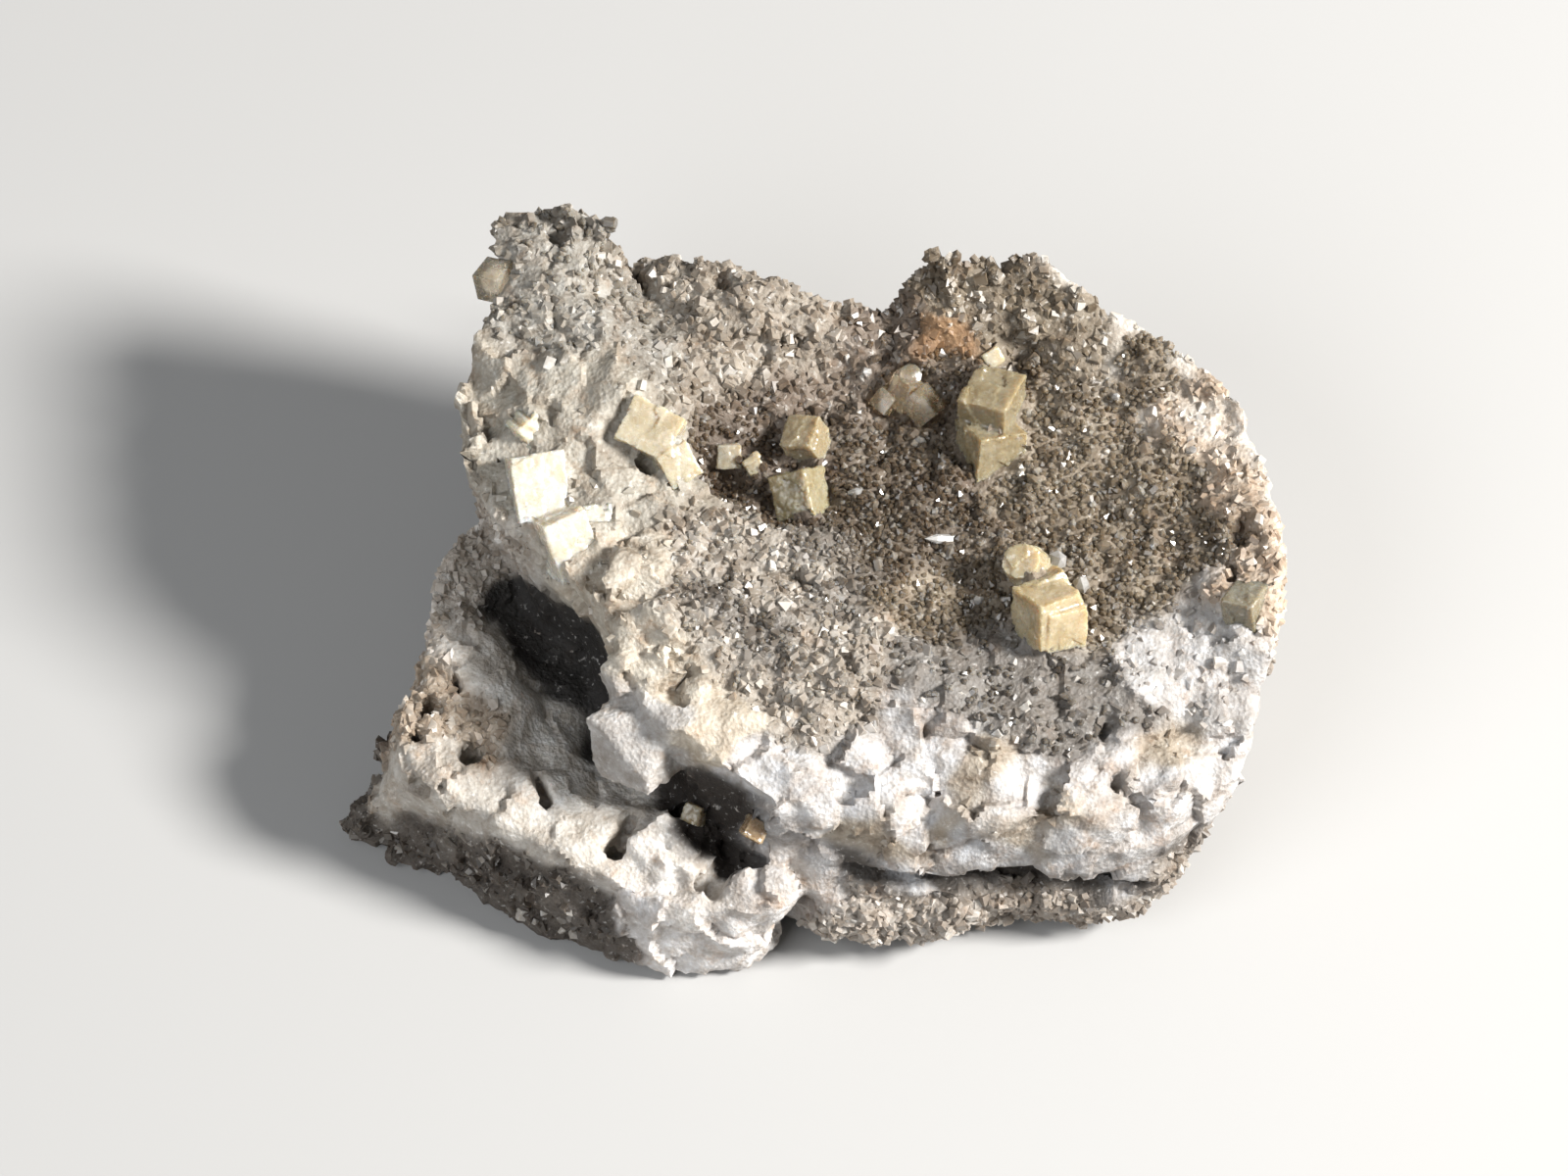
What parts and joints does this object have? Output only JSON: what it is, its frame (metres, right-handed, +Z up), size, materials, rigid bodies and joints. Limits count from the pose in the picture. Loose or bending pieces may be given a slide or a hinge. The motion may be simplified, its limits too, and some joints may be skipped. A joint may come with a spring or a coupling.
{
  "type": "woodhouseite specimen",
  "caption": "Broken plate of drusy quartz with a lower shelf and straight-walled casts, carrying nearly cubic honey-coloured crystals; rests on its flat underside.",
  "frame": {"origin": "centre of the specimen's outline, on the plane of the flat underside that it rests on", "axes": "+Z up through the drusy face, -Y towards the front ledge, +X towards the straight right-hand rim"},
  "size_m": [0.0692, 0.052, 0.0255],
  "materials": {
    "quartz": "rough drusy quartz rock with fine glittering points",
    "honey_crystal": "waxy, translucent honey-coloured crystal",
    "pale_crystal": "waxy, cream to pale tan crystal",
    "clear_crystal": "glassy, greyish crystal"
  },
  "bodies": {
    "root": {"quartz_matrix": "quartz", "crystal_clump_upper": "honey_crystal", "crystal_clump_lower": "honey_crystal", "crystal_middle_upper": "honey_crystal", "crystal_middle_lower": "honey_crystal", "crystal_cube_left": "pale_crystal", "crystal_cube_right": "pale_crystal", "crystal_trio_clear": "clear_crystal", "crystal_chip_upper": "pale_crystal", "crystal_block_edge": "pale_crystal", "crystal_slab_ledge": "pale_crystal", "crystal_striped": "pale_crystal", "crystal_knob_left": "clear_crystal", "crystal_cast_first": "pale_crystal", "crystal_cast_second": "pale_crystal", "crystal_rim_right": "pale_crystal"}
  },
  "joints": []
}
